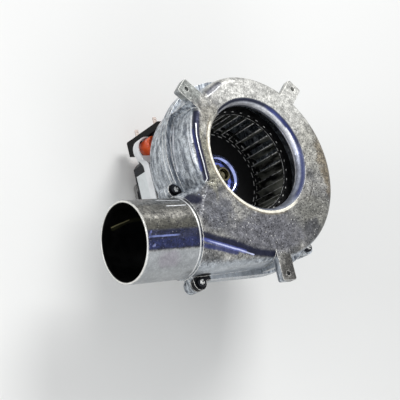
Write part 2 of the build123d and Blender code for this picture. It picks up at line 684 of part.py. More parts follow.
def stator_core() -> Part:
    """Lamination stack: two legs, two pole shoes joined by thin bridges, and the rotor bore."""
    outline = Rectangle(2 * STACK_X, STACK_HIGH_Y - STACK_LOW_Y, align=(Align.CENTER, Align.MIN))
    outline = Location((0, STACK_LOW_Y)) * outline
    outline = chamfer(outline.vertices(), STACK_CHAMFER)
    window = Rectangle(2 * LEG_IN_X, 20.0, align=(Align.CENTER, Align.MIN))
    sketch = outline - Location((0, WINDOW_Y)) * window - Circle(BORE_R)
    slot = Rectangle(POLE_SLOT, 30.0, align=(Align.CENTER, Align.MIN))
    sketch -= Location((0, BORE_R + POLE_BRIDGE)) * slot
    sketch -= Location((0, -BORE_R - POLE_BRIDGE), (0, 0, 180)) * slot
    for side in (1, -1):
        sketch -= Location((-side * SHADE_OUT_X, side * SHADE_Y)) * Rectangle(SHADE_BAR, SHADE_BAR)
    for x, y in MOTOR_SCREW_AT:
        sketch -= Location((x, y)) * Circle(MOTOR_SCREW_R + SCREW_SLACK)
    return plate(sketch, STACK_LOW_Z, STACK_TOP_Z)


def shading_rings() -> list:
    """Copper loops round one tip of each pole shoe."""
    half = 0.5 * SHADE_BAR
    low, high = STACK_LOW_Z - SHADE_END, STACK_TOP_Z + SHADE_END
    ring = block((-SHADE_OUT_X - half, SHADE_Y - half, low), (-SHADE_IN_X + half, SHADE_Y + half, high))
    ring -= block((-SHADE_OUT_X + half, SHADE_Y - 3, STACK_LOW_Z), (-SHADE_IN_X - half, SHADE_Y + 3,
                                                                   STACK_TOP_Z))
    return [ring, Location((0, 0, 0), (0, 0, 180)) * ring]


def core_bar() -> Part:
    """Straight lamination packet through the coil, resting on the two legs."""
    return block((-BAR_X, STACK_HIGH_Y, STACK_LOW_Z), (BAR_X, STACK_HIGH_Y + BAR_T, STACK_TOP_Z))


def wrapped(grow: float, corner: float) -> Sketch:
    """Rounded section round the core bar, grown by the amount, on the plane across X."""
    sketch = Rectangle(BAR_T + 2 * grow, STACK_T + 2 * grow)
    if corner > 0:
        sketch = fillet(sketch.vertices(), corner)
    centre = (0, STACK_HIGH_Y + 0.5 * BAR_T, STACK_TOP_Z - 0.5 * STACK_T)
    return Plane(origin=centre, x_dir=(0, 1, 0), z_dir=(1, 0, 0)) * sketch


def coil_bobbin() -> Part:
    """Moulded bobbin: a barrel on the core bar, two cheeks and a tab for the terminal carrier."""
    end = COIL_X + CHEEK_T
    tube = extrude(wrapped(BOBBIN_WALL, 0), end, both=True)
    cheek = extrude(wrapped(BOBBIN_WALL + COIL_T + CHEEK_OVER, COIL_CORNER_R + 1.5), CHEEK_T)
    tube += Location((COIL_X, 0, 0)) * cheek + Location((-end, 0, 0)) * cheek
    middle = STACK_TOP_Z - 0.5 * STACK_T
    tube += block((-end, CARRIER_LOW_Y - BOBBIN_TAB_LAP, middle - 0.5 * BOBBIN_TAB_W),
                  (-COIL_X, CARRIER_HIGH_Y, middle + 0.5 * BOBBIN_TAB_W))
    return tube - extrude(wrapped(0, 0), 2 * end, both=True)


def coil_winding() -> Part:
    """Enamelled copper winding between the cheeks."""
    coil = extrude(wrapped(BOBBIN_WALL + COIL_T, COIL_CORNER_R), COIL_X, both=True)
    return coil - extrude(wrapped(BOBBIN_WALL, 0), 2 * COIL_X, both=True)


def coil_end_turns() -> Part:
    """Lashed bundle of end turns beside the near cheek."""
    end = -COIL_X - CHEEK_T
    sketch = Location((TURNS_X, TURNS_Y)) * (Circle(TURNS_R) + Rectangle(
        end - TURNS_X, 2 * TURNS_R, align=(Align.MIN, Align.CENTER)))
    solid = plate(sketch, TURNS_REAR_Z, TURNS_FRONT_Z)
    rims = [e for e in solid.edges() if e.geom_type == GeomType.CIRCLE]
    room = (BAR_X + TURNS_SLACK, STACK_HIGH_Y + BAR_T + TURNS_SLACK, STACK_TOP_Z + TURNS_SLACK)
    return fillet(rims, 0.26 * TURNS_R) - block((-room[0], STACK_LOW_Y, STACK_LOW_Z), room)


def lead_guard() -> Part:
    """White S-shaped guard that loops round the end turns and runs down the side of the stack."""
    side_x = -STACK_X - 0.5 * GUARD_T
    loop = CenterArc((GUARD_X, GUARD_Y), GUARD_R, 76, 156)
    low_point = loop @ 1
    join = TangentArc(low_point, (side_x, low_point.Y - GUARD_TURN), tangent=loop % 1)
    run = Line((side_x, low_point.Y - GUARD_TURN), (side_x, GUARD_END_Y))
    rim = Sketch()
    for edge in (loop, join, run):
        rim += trace(edge, GUARD_T)
    solid = plate(rim, GUARD_REAR_Z, GUARD_FRONT_Z)
    inner_x = -LEG_IN_X - GUARD_LAP
    out_x = -STACK_X - GUARD_FLOOR_OUT
    floor = Polyline((out_x, STACK_HIGH_Y - GUARD_FLOOR_DROP), (-STACK_X - GUARD_FLOOR_STEP, GUARD_FLOOR_Y),
                     (inner_x, GUARD_FLOOR_Y), (inner_x, STACK_HIGH_Y),
                     (out_x - 2.0 * GUARD_FLOOR_STEP, STACK_HIGH_Y), close=True)
    solid += plate(Sketch() + make_face(floor), STACK_TOP_Z, GUARD_FRONT_Z)
    return solid - block((-STACK_X, GUARD_END_Y - 2, STACK_LOW_Z), (0, STACK_HIGH_Y, STACK_TOP_Z))


def terminal_carrier() -> Part:
    """Black moulding beside the near cheek: a long bar on a short rear column."""
    end = -COIL_X - CHEEK_T
    bar = block((CARRIER_X, CARRIER_LOW_Y, CARRIER_REAR_Z), (end, CARRIER_HIGH_Y, CARRIER_FRONT_Z))
    bar += block((CARRIER_X, COLUMN_LOW_Y, CARRIER_REAR_Z), (end, CARRIER_HIGH_Y, COLUMN_FRONT_Z))
    bar = chamfer(bar.edges().filter_by(Axis.X).group_by(Axis.Z)[0], 0.8)
    for z in TERMINAL_AT_Z:
        bar -= block((TERMINAL_X - 0.5 * TERMINAL_W, CARRIER_HIGH_Y - TERMINAL_ROOT, z - 0.5 * TERMINAL_T),
                     (TERMINAL_X + 0.5 * TERMINAL_W, CARRIER_HIGH_Y + 1, z + 0.5 * TERMINAL_T))
    return bar


def spade_terminals() -> list:
    """Flat push-on terminals standing out of the carrier."""
    half = 0.5 * TERMINAL_W
    low = CARRIER_HIGH_Y - TERMINAL_ROOT
    shoulder = TERMINAL_TOP_Y - 0.8
    outline = Polyline((-half, low), (half, low), (half, shoulder), (half - 0.6, TERMINAL_TOP_Y),
                       (0.6 - half, TERMINAL_TOP_Y), (-half, shoulder), close=True)
    sketch = Location((TERMINAL_X, 0)) * make_face(outline)
    sketch -= Location((TERMINAL_X, TERMINAL_TOP_Y - 2.6)) * Circle(0.6)
    return [plate(sketch, z - 0.5 * TERMINAL_T, z + 0.5 * TERMINAL_T) for z in TERMINAL_AT_Z]


def rotor_core() -> Part:
    """Rotor lamination packet."""
    low, high = STACK_LOW_Z + ROTOR_INSET, STACK_TOP_Z - ROTOR_INSET
    return rod(ROTOR_R, low, high) - rod(SHAFT_R, low - 1, high + 1)


def rotor_end_rings() -> list:
    """Cast rings that short the rotor cage at both ends."""
    low = STACK_TOP_Z - ROTOR_INSET
    return both_ends(rod(END_RING_OUT_R, low, low + END_RING_T) - rod(END_RING_IN_R, low - 1, low + 9))


def thrust_spacers() -> list:
    """Sleeves that hold the rotor between the bushes with a little end play."""
    low = STACK_TOP_Z - ROTOR_INSET
    high = STACK_TOP_Z + BRACKET_GAP + CLIP_T - END_PLAY
    return both_ends(rod(SPACER_R, low, high) - rod(SHAFT_R, low - 1, high + 1))


def motor_screws() -> list:
    """Long screws from the rear bracket through the stack into the casing pillars."""
    seat = STACK_LOW_Z - BRACKET_GAP - BRACKET_T
    tip = STACK_TOP_Z + BRACKET_GAP + BRACKET_T + PILLAR_THREAD - 1.0
    screw = pan_screw(MOTOR_SCREW_R, tip - seat, MOTOR_HEAD_R, MOTOR_HEAD_H)
    return [Location((x, y, seat), (180, 0, 30)) * screw for x, y in MOTOR_SCREW_AT]


def seal_plate() -> Part:
    """Round cover that holds the shaft seal in its boss."""
    high = -DEPTH - SEAL_BOSS_H
    cover = rod(SEAL_BOSS_R, high - SEAL_PLATE_T, high) - rod(WALL_HOLE_R, high - 5, high + 1)
    holes = around(rod(SEAL_SCREW_R + 0.1, high - 5, high + 1, SEAL_SCREW_PITCH_R, 0), SEAL_SCREWS, 90)
    return cover - Compound(holes)


def seal_screws() -> list:
    """Small screws of the seal cover."""
    seat = -DEPTH - SEAL_BOSS_H - SEAL_PLATE_T
    screw = Location((SEAL_SCREW_PITCH_R, 0, seat), (180, 0, 0)) * pan_screw(SEAL_SCREW_R, 5.5, 2.6, 1.6)
    return around(screw, SEAL_SCREWS, 90)


def shaft_seal() -> Part:
    """Graphite ring round the shaft in the rear wall."""
    low = -DEPTH - SEAL_BOSS_H
    return rod(SEAL_R, low, low + SEAL_T) - rod(SHAFT_R + 0.05, low - 1, low + SEAL_T + 1)


def rating_label() -> Part:
    """Blank label on the side of the stack."""
    return block((-STACK_X - LABEL_T, LABEL_SIZE_Y[0], LABEL_SIZE_Z[0]),
                 (-STACK_X, LABEL_SIZE_Y[1], LABEL_SIZE_Z[1]))


def save(name: str, shape: object) -> None:
    """Write one node; a list becomes a group of separate solids."""
    whole = Compound(children=list(shape)) if isinstance(shape, list) else shape
    export_step(whole, f"parts/{name}.step")


def main() -> None:
    """Build every node and write it."""
    os.makedirs("parts", exist_ok=True)
    outer = half_body(0.0)
    cavity = half_body(WALL)
    save("front_shell", front_shell(outer, cavity))
    save("mounting_arms", mounting_arms())
    save("rear_shell", rear_shell(outer, cavity))
    save("outlet_spigot", outlet_spigot())
    save("casing_screws", casing_screws())
    save("impeller_front_ring", rotor_sheet(RING_IN_R, RING_TOP_Z - SHEET_T))
    save("impeller_blades", around(blade(), BLADES, BLADE_START))
    save("impeller_back_disc", impeller_disc())
    save("hub_dome", hub_dome())
    save("hub_boss", hub_boss())
    save("hub_rivets", rivets())
    save("hub_nut", hub_nut())
    save("shaft", shaft())
    save("shaft_seal", shaft_seal())
    save("seal_plate", seal_plate())
    save("seal_screws", seal_screws())
    save("front_bracket", bracket(False))
    save("rear_bracket", bracket(True))
    save("bearings", bearings())
    save("bearing_clips", bearing_clips())
    save("stator_core", stator_core())
    save("shading_rings", shading_rings())
    save("core_bar", core_bar())
    save("coil_bobbin", coil_bobbin())
    save("coil_winding", coil_winding())
    save("coil_end_turns", coil_end_turns())
    save("lead_guard", lead_guard())
    save("terminal_carrier", terminal_carrier())
    save("spade_terminals", spade_terminals())
    save("rating_label", rating_label())
    save("rotor_core", rotor_core())
    save("rotor_end_rings", rotor_end_rings())
    save("thrust_spacers", thrust_spacers())
    save("motor_screws", motor_screws())


if __name__ == "__main__":
    main()
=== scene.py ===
import logging
import math
from dataclasses import dataclass, field
from enum import Enum

import bpy
from mathutils import Matrix, Vector

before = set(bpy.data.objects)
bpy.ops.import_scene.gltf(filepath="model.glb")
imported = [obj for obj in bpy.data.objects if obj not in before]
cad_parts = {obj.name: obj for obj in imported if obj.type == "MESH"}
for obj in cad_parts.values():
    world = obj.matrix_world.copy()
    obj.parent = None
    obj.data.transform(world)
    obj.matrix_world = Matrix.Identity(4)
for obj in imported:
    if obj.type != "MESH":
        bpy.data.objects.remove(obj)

LOG = logging.getLogger("boiler_fan")
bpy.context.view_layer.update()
MM = 0.001

# The fan's own places, in millimetres in the frame of the part
PIPE_Y = -54.4
SPLIT_Z = -30.8

# How far apart the noise's patches lie that move the outlines of paints, and how far it moves them
SHAKE_SIZE = 9.0
LINE_SHAKE = 0.35
PATCH_SHAKE = 9.0


class Layer(Enum):
    """Whether a paint lies under a casting's grain and pits or over them."""

    UNDER = "under the grain"
    OVER = "over the grain"


def tint(code: str) -> tuple:
    """Linear colour of a six-digit display colour code.

    Args:
        code: Red, green and blue as two hexadecimal digits each.

    Returns:
        Red, green, blue and alpha, linear.
    """
    values = [int(code[i:i + 2], 16) / 255.0 for i in (0, 2, 4)]
    linear = [v / 12.92 if v <= 0.04045 else ((v + 0.055) / 1.055) ** 2.4 for v in values]
    return (*linear, 1.0)


class Board:
    """One material's node tree with short calls for the nodes that the finishes use."""

    def __init__(self, name: str) -> None:
        """Makes the material with a shader, an output and object coordinates in millimetres.

        Args:
            name: The material's name.
        """
        self.material = bpy.data.materials.new(name)
        self.material.use_nodes = True
        self.tree = self.material.node_tree
        self.tree.nodes.clear()
        self.shader = self.tree.nodes.new("ShaderNodeBsdfPrincipled")
        output = self.tree.nodes.new("ShaderNodeOutputMaterial")
        self.tree.links.new(self.shader.outputs[0], output.inputs[0])
        coords = self.tree.nodes.new("ShaderNodeTexCoord")
        self.place = self.moved(coords.outputs["Object"], (1.0 / MM,) * 3, (0.0, 0.0, 0.0))
        self.x, self.y, self.z = self.node("ShaderNodeSeparateXYZ", {0: self.place}).outputs
        self.facing = self.node("ShaderNodeSeparateXYZ", {0: coords.outputs["Normal"]}).outputs[2]
        self.wavy = self.shaken(SHAKE_SIZE, LINE_SHAKE)
        self.rough = self.shaken(SHAKE_SIZE, PATCH_SHAKE)
        self.shaft_r = self.length(self.wavy[0], self.wavy[1])
        self.shaft_spoke = tuple(self.calc("DIVIDE", value, self.shaft_r) for value in self.wavy[:2])
        up = self.calc("SUBTRACT", self.wavy[2], SPLIT_Z)
        side = self.calc("SUBTRACT", self.wavy[1], PIPE_Y)
        pipe_r = self.length(up, side)
        self.pipe_spoke = (self.calc("DIVIDE", up, pipe_r), self.calc("DIVIDE", side, pipe_r))

    def node(self, kind: str, inputs: dict, **settings: object) -> object:
        """Adds a node, sets its properties and fills its inputs.

        Args:
            kind: The node's type.
            inputs: Input name or number to a value or another node's socket.
            **settings: Properties set before the inputs.

        Returns:
            The new node.
        """
        made = self.tree.nodes.new(kind)
        for key, value in settings.items():
            setattr(made, key, value)
        for key, value in inputs.items():
            if isinstance(value, bpy.types.NodeSocket):
                self.tree.links.new(value, made.inputs[key])
            elif value is not None:
                made.inputs[key].default_value = value
        return made

    def calc(self, operation: str, a: object, b: object = None) -> object:
        """Result socket of a math node on one or two numbers or sockets."""
        return self.node("ShaderNodeMath", {0: a, 1: b}, operation=operation).outputs[0]

    def mix(self, amount: object, first: object, second: object, blend: str = "MIX") -> object:
        """Colour socket that goes from the first colour to the second.

        Args:
            amount: 0 for the first colour and 1 for the second.
            first: A colour or socket.
            second: A colour or socket.
            blend: How the second is laid on the first.

        Returns:
            The mixed colour's socket.
        """
        made = self.node("ShaderNodeMix", {0: amount, 6: first, 7: second}, data_type="RGBA",
                         blend_type=blend)
        return made.outputs[2]

    def span(self, value: object, low: float, high: float, to_low: float = 0.0,
             to_high: float = 1.0) -> object:
        """Smooth step of a value between two limits.

        Args:
            value: The socket to map.
            low: Where the step starts.
            high: Where it ends.
            to_low: Result at and below the start.
            to_high: Result at and above the end.

        Returns:
            The mapped socket.
        """
        inputs = {0: value, 1: low, 2: high, 3: to_low, 4: to_high}
        return self.node("ShaderNodeMapRange", inputs, interpolation_type="SMOOTHSTEP").outputs[0]

    def noise(self, size: float, detail: float = 4.0, roughness: float = 0.55,
              stretch: tuple = (1.0, 1.0, 1.0), shift: float = 0.0) -> object:
        """Noise between 0 and 1 with patches of about the given size in millimetres.

        Args:
            size: Size of the largest patches.
            detail: Number of finer layers.
            roughness: Strength of the finer layers.
            stretch: How much longer the patches are along X, Y and Z.
            shift: Offset that makes the pattern another one.

        Returns:
            The noise socket.
        """
        place = self.moved(self.place, tuple(1.0 / (size * s) for s in stretch),
                           (shift, 0.7 * shift, 1.3 * shift))
        return self.node("ShaderNodeTexNoise", {"Vector": place, "Scale": 1.0, "Detail": detail,
                                                "Roughness": roughness}).outputs[0]

    def moved(self, place: object, scale: tuple, offset: tuple) -> object:
        """Coordinates after a scale and a move."""
        return self.node("ShaderNodeMapping", {0: place, 1: offset, 3: scale}).outputs[0]

    def add(self, value: object, factor: object, more: object, clamp: bool = False) -> object:
        """Product and sum in one node.

        Args:
            value: A number or socket.
            factor: What it is multiplied by.
            more: What is added to the product.
            clamp: Whether the result is kept between 0 and 1.

        Returns:
            The result's socket.
        """
        return self.node("ShaderNodeMath", {0: value, 1: factor, 2: more}, operation="MULTIPLY_ADD",
                         use_clamp=clamp).outputs[0]

    def length(self, a: object, b: object) -> object:
        """Length of a flat vector."""
        return self.calc("SQRT", self.add(a, a, self.calc("MULTIPLY", b, b)))

    def shaken(self, size: float, reach: float) -> tuple:
        """Coordinates moved about by noise, so that what is drawn on them gets an uneven outline.

        Args:
            size: Size of the noise's patches in millimetres.
            reach: How far it moves a point along each axis at most.

        Returns:
            Sockets of X, Y and Z.
        """
        made = self.node("ShaderNodeTexNoise", {"Vector": self.place, "Scale": 1.0 / size, "Detail": 3.0})
        parts = self.node("ShaderNodeSeparateColor", {0: made.outputs["Color"]}).outputs
        return tuple(self.add(part, 2.0 * reach, self.calc("SUBTRACT", value, reach))
                     for part, value in zip(parts, (self.x, self.y, self.z)))

    def specks(self, size: float, radius: float, shift: float = 0.0) -> object:
        """Mask of scattered round specks.

        Args:
            size: Distance between the specks in millimetres.
            radius: Their radius as a share of that distance.
            shift: Offset that makes the pattern another one.

        Returns:
            A socket that is 1 inside a speck.
        """
        place = self.moved(self.place, (1.0 / size,) * 3, (shift, 0.7 * shift, 1.3 * shift))
        made = self.node("ShaderNodeTexVoronoi", {"Vector": place, "Scale": 1.0})
        return self.span(made.outputs["Distance"], radius, 0.4 * radius)

    def spot(self, centre: tuple, reach: tuple, soft: float = 0.6) -> object:
        """Mask of a soft ellipsoid in millimetres.

        Args:
            centre: Its middle.
            reach: Its half lengths along X, Y and Z.
            soft: Share of its radius that is faded.

        Returns:
            A socket that is 1 in the middle and 0 outside.
        """
        total = 0.0
        for value, middle, half in zip(self.rough, centre, reach):
            part = self.add(value, 1.0 / half, -middle / half)
            total = self.add(part, part, total)
        return self.span(total, 1.0, (1.0 - soft) ** 2)

    def stroke(self, points: tuple, width: float, soft: float) -> object:
        """Mask of a soft line through points.

        Args:
            points: Its corners in millimetres.
            width: Its half width.
            soft: Share of the half width that is faded.

        Returns:
            A socket that is 1 on the line and 0 away from it.
        """
        nearest = 1000.0
        for start, end in zip(points, points[1:]):
            along = tuple(b - a for a, b in zip(start, end))
            total = sum(v * v for v in along)
            share = -sum(a * v for a, v in zip(start, along)) / total
            for value, part, last in zip(self.wavy, along, (False, False, True)):
                share = self.add(value, part / total, share, last)
            away = 0.0
            for value, first, part in zip(self.wavy, start, along):
                gap = self.calc("SUBTRACT", self.add(share, -part, value), first)
                away = self.add(gap, gap, away)
            nearest = self.calc("MINIMUM", nearest, away)
        return self.span(nearest, width ** 2, (width * (1.0 - soft)) ** 2)

    def window(self, value: object, low: float, high: float, soft: float) -> object:
        """Mask of a range of values, faded by the given amount on both sides of each limit."""
        return self.calc("MULTIPLY", self.span(value, low - soft, low + soft),
                         self.span(value, high + soft, high - soft))

    def sector(self, spoke: tuple, middle: float, half: float, soft: float) -> object:
        """Mask of a range of directions.

        Args:
            spoke: The two parts of a unit vector.
            middle: Middle direction in degrees.
            half: Half of the range.
            soft: Fade beyond it.

        Returns:
            A socket that is 1 within the range.
        """
        if half >= 180.0:
            return self.calc("ADD", 1.0, 0.0)
        angle = math.radians(middle)
        toward = self.add(spoke[0], math.cos(angle), self.calc("MULTIPLY", spoke[1], math.sin(angle)))
        outer = math.cos(math.radians(min(half + soft, 180.0)))
        return self.span(toward, outer, math.cos(math.radians(half)))

    def edges(self, width: float) -> object:
        """Mask of sharp edges.

        Args:
            width: Radius in millimetres of the bevel whose turn of the normal shows an edge.

        Returns:
            A socket that is 1 at an edge.
        """
        true = self.node("ShaderNodeNewGeometry", {}).outputs["Normal"]
        turned = self.node("ShaderNodeVectorMath", {0: self.soften(width), 1: true},
                           operation="DOT_PRODUCT").outputs["Value"]
        return self.span(turned, 0.985, 0.9)

    def cover(self, colour: object, through: object, own: object) -> object:
        """Colour under a layer that lets a share of it through and adds its own."""
        return self.mix(1.0, self.mix(through, tint("000000"), colour), own, "ADD")

    def both(self, *masks: object) -> object:
        """Product of several masks.

        Args:
            *masks: Sockets or numbers.

        Returns:
            A socket that is 1 only where all of them are.
        """
        result = masks[0]
        for mask in masks[1:]:
            result = self.calc("MULTIPLY", result, mask)
        return result

    def radius(self, y: float = 0.0, z: float = None) -> object:
        """Distance from the shaft, or from an axis along X.

        Args:
            y: Height of the axis along X.
            z: Its depth, or None for the shaft.

        Returns:
            The distance's socket, in millimetres.
        """
        if z is None:
            return self.length(self.x, self.y)
        return self.length(self.calc("SUBTRACT", self.y, y), self.calc("SUBTRACT", self.z, z))

    def relief(self, height: object, depth: float, under: object = None) -> object:
        """Normal that raises the surface by a height map.

        Args:
            height: The map's socket.
            depth: What a height of 1 stands for in millimetres.
            under: The normal to start from.

        Returns:
            The normal's socket.
        """
        made = self.node("ShaderNodeBump",
                         {"Height": height, "Distance": depth * MM, "Strength": 1.0, "Normal": under})
        return made.outputs[0]

    def soften(self, width: float) -> object:
        """Normal socket that rounds sharp edges over a width in millimetres."""
        return self.node("ShaderNodeBevel", {"Radius": width * MM}, samples=6).outputs[0]

    def set(self, **values: object) -> None:
        """Fills the shader's inputs.

        Args:
            **values: Input names, with underscores for spaces, to values or sockets.
        """
        for key, value in values.items():
            socket = self.shader.inputs[key.replace("_", " ")]
            if isinstance(value, bpy.types.NodeSocket):
                self.tree.links.new(value, socket)
            else:
                socket.default_value = value


@dataclass(frozen=True)
class StainAndLightPatch:
    """A soft coloured area on a casting, in millimetres, used both for real stains and for painted light,
    shade and reflections.
    """

    centre: tuple
    reach: tuple
    colour: str
    amount: float = 0.8
    soft: float = 0.7
    layer: Layer = Layer.UNDER

    def mask(self, board: Board) -> object:
        """Where the area is."""
        return board.spot(self.centre, self.reach, self.soft)


@dataclass(frozen=True)
class Streak:
    """A soft coloured line along a casting, in millimetres: mostly a painted reflection or highlight, also
    painted dark lug faces, a groove line and smudges.
    """

    points: tuple
    width: float
    colour: str
    amount: float = 0.9
    soft: float = 0.6
    layer: Layer = Layer.OVER

    def mask(self, board: Board) -> object:
        """Where the line is."""
        return board.stroke(self.points, self.width, self.soft)


@dataclass(frozen=True)
class Ring:
    """A coloured band about the shaft, used for the inlet lip's painted reflections and highlights: its
    radii, heights and directions with their fades.
    """

    radii: tuple
    heights: tuple
    turn: tuple
    colour: str
    amount: float = 0.9
    layer: Layer = Layer.OVER

    def mask(self, board: Board) -> object:
        """Where the band is."""
        return board.both(board.window(board.shaft_r, *self.radii),
                          board.window(board.wavy[2], *self.heights),
                          board.sector(board.shaft_spoke, *self.turn))


@dataclass(frozen=True)
class PipeBand:
    """A coloured band of painted reflection along the outside of the outlet pipe, by direction from
    straight up; the collar and mouth bands are painted highlights.
    """

    turn: tuple
    length: tuple
    colour: str
    amount: float = 0.9
    layer: Layer = Layer.UNDER

    def mask(self, board: Board) -> object:
        """Where the band is."""
        return board.both(board.sector(board.pipe_spoke, *self.turn),
                          board.window(board.wavy[0], *self.length))


@dataclass(frozen=True)
class CastMetal:
    """Aged cast alloy: cloudy grey with pits, bright specks, painted reflections, painted reflection
    streaks on the side walls, and worn edges with painted highlights.
    """

    name: str
    dark: str = "6a6a6a"
    light: str = "a8a6a0"
    # side and the dark side tone: light and dark tones of the painted reflection streaks on walls that
    # face sideways
    side: str = "c0c6cc"
    side_reflection_dark: str = "656b74"
    pit: str = "17171c"
    # bright: colour of the specks and of the painted edge highlights
    bright: str = "f0eee8"
    cloud: float = 15.0
    pits: float = 0.8
    specks: float = 0.7
    metallic: float = 0.65
    rough: tuple = (0.3, 0.5)
    seats: tuple = ()
    hollow: float = 0.0
    paints: tuple = ()

    def build(self) -> bpy.types.Material:
        """Makes the material."""
        board = Board(self.name)
        under = self.painted(board, Layer.UNDER)
        over = self.painted(board, Layer.OVER)
        cloud = board.span(board.noise(self.cloud, 6.0, 0.62), 0.36, 0.66)
        colour = board.mix(cloud, tint(self.dark), tint(self.light))
        # Walls that face sideways, and all below z -17 mm, get painted reflections: light and dark streaks
        # of the side tones in place of the cloud
        aside = board.calc("MAXIMUM", board.span(board.facing, 0.75, 0.45),
                           board.span(board.z, -17.0, -21.0))
        side_reflections = board.span(board.noise(5.0, 5.0, 0.6, (0.4, 5.0, 0.5), 31.0), 0.34, 0.64)
        colour = board.mix(aside, colour, board.mix(side_reflections, tint(self.side_reflection_dark), tint(self.side)))
        colour = board.cover(colour, *under)
        grain = board.noise(1.3, 4.0, 0.75, shift=3.0)
        patch = board.noise(5.0, 5.0, 0.68, shift=13.0)
        shade = board.calc("MULTIPLY", board.span(grain, 0.34, 0.66, 0.68, 1.22),
                           board.span(patch, 0.32, 0.68, 0.66, 1.26))
        tone = board.node("ShaderNodeCombineColor", {0: shade, 1: shade, 2: shade}).outputs[0]
        level = board.calc("SUBTRACT", 1.0, board.calc("MULTIPLY", aside, 0.5))
        colour = board.mix(level, colour, board.mix(1.0, colour, tone, "MULTIPLY"))
        region = board.span(board.noise(12.0, 2.0, shift=11.0), 0.32, 0.5)
        pits = board.both(board.specks(2.0, 0.42, 5.0), region, level,
                          board.span(board.y, 5.0, 45.0, 1.0, 0.3))
        colour = board.mix(board.calc("MULTIPLY", pits, self.pits), colour, tint(self.pit))
        flecks = board.both(board.specks(2.8, 0.24, 17.0), board.span(grain, 0.44, 0.6), level)
        colour = board.mix(board.calc("MULTIPLY", flecks, self.specks), colour, tint(self.bright))
        colour = board.cover(colour, *over)
        colour = board.mix(0.4, colour, board.mix(1.0, colour, tone, "MULTIPLY"))
        away = self.apart(board)
        # Worn edges with painted highlights: the bright colour along sharp edges, broken up by noise and
        # kept off the arm seats
        worn = board.both(board.edges(0.7), board.span(board.noise(2.2, 3.0, shift=41.0), 0.26, 0.5), away)
        colour = board.mix(worn, colour, tint(self.bright))
        if self.hollow:
            colour = self.shadowed(board, colour)
        height = board.calc("SUBTRACT", board.calc("MULTIPLY", grain, 0.5), pits)
        true = board.node("ShaderNodeNewGeometry", {}).outputs["Normal"]
        soft = board.node("ShaderNodeMix", {0: away, 4: true, 5: board.soften(0.45)},
                          data_type="VECTOR").outputs[1]
        normal = board.relief(board.noise(26.0, 3.0, shift=7.0), 1.2, soft)
        board.set(Base_Color=colour, Metallic=self.metallic,
                  Roughness=board.span(board.noise(5.0, 4.0, shift=23.0), 0.3, 0.7, *self.rough),
                  Normal=board.relief(height, 0.1, normal))
        return board.material

    def shadowed(self, board: Board, colour: object) -> object:
        """Colour with painted shade inside the pipe, with a faint olive painted reflection streak and a
        thin painted highlight line along it.

        Args:
            board: The material's board.
            colour: The colour's socket outside.

        Returns:
            The new colour's socket.
        """
        # Painted shade: the inside of the pipe is near black, with an olive painted reflection streak and
        # a thin pale painted highlight
        inside = board.span(board.radius(PIPE_Y, SPLIT_Z), self.hollow, self.hollow - 0.3)
        streak = board.stroke(((-87.0, -32.4, -48.1), (-98.6, -33.2, -49.1), (-110.3, -37.0, -52.8)),
                              2.6, 1.0)
        fine = board.stroke(((-98.0, -32.6, -48.6), (-112.0, -36.5, -52.4)), 0.7, 0.8)
        inside_shade = board.mix(board.calc("MULTIPLY", streak, 0.6), tint("050505"), tint("46462e"))
        return board.mix(inside, colour, board.mix(fine, inside_shade, tint("b5b086")))

    def painted(self, board: Board, layer: Layer) -> tuple:
        """Paints of one layer as a whole.

        Args:
            board: The material's board.
            layer: Which paints are taken.

        Returns:
            The share that they let through, and their own colour.
        """
        through = 1.0
        own = tint("000000")
        for paint in self.paints:
            if paint.layer is layer:
                mask = board.calc("MULTIPLY", paint.mask(board), paint.amount)
                own = board.mix(mask, own, tint(paint.colour))
                through = board.calc("MULTIPLY", through, board.calc("SUBTRACT", 1.0, mask))
        return through, own

    def apart(self, board: Board) -> object:
        """Mask that leaves out the seats of the arms, where casting and arm are one surface.

        Args:
            board: The material's board.

        Returns:
            A socket that is 0 at a seat.
        """
        away = board.calc("ADD", 1.0, 0.0)
        for angle, distance in self.seats:
            turn = math.radians(angle)
            along = board.add(board.x, math.cos(turn), board.calc("MULTIPLY", board.y, math.sin(turn)))
            near = board.both(board.window(along, distance - 1.2, distance + 1.2, 0.3),
                              board.sector(board.shaft_spoke, angle, 9.0, 2.0))
            away = board.calc("MULTIPLY", away, board.calc("SUBTRACT", 1.0, near))
        return away


@dataclass(frozen=True)
class TurnedMetal:
    """Machined, drawn or plated metal with fine scratches."""

    name: str
    colour: str = "b9b8b4"
    # Second colour and its share: real grime on most parts, painted navy reflection on the hub dome
    dirt_and_reflection: str = "4a4640"
    rough: tuple = (0.18, 0.4)
    grime_and_reflection: float = 0.35
    stretch: tuple = (1.0, 1.0, 1.0)
    metallic: float = 0.95

    def build(self) -> bpy.types.Material:
        """Makes the material."""
        board = Board(self.name)
        smear = board.span(board.noise(6.0, 5.0, 0.65, self.stretch), 0.45, 0.75)
        fine = board.noise(0.7, 3.0, 0.6, self.stretch, 4.0)
        colour = board.mix(board.calc("MULTIPLY", smear, self.grime_and_reflection), tint(self.colour), tint(self.dirt_and_reflection))
        board.set(Base_Color=colour, Metallic=self.metallic,
                  Roughness=board.span(fine, 0.3, 0.7, *self.rough),
                  Normal=board.relief(fine, 0.02, board.soften(0.2)))
        return board.material


@dataclass(frozen=True)
class ScrewHeads:
    """Near-black screws that are brighter round the middle of the head."""

    name: str
    colour: str = "16181d"
    bright: str = "fbfbf8"
    places: tuple = ()
    reach: float = 2.3

    def build(self) -> bpy.types.Material:
        """Makes the material."""
        board = Board(self.name)
        near = 0.0
        for x, y in self.places:
            flat = board.length(board.calc("SUBTRACT", board.x, x), board.calc("SUBTRACT", board.y, y))
            near = board.calc("MAXIMUM", near, board.span(flat, self.reach, self.reach - 0.8))
        fine = board.noise(0.8, 3.0, 0.6, shift=4.0)
        worn = board.both(near, board.span(fine, 0.36, 0.5))
        board.set(Base_Color=board.mix(worn, tint(self.colour), tint(self.bright)), Metallic=0.8,
                  Roughness=board.span(worn, 0.0, 1.0, 0.45, 0.2),
                  Normal=board.relief(fine, 0.02, board.soften(0.2)))
        return board.material


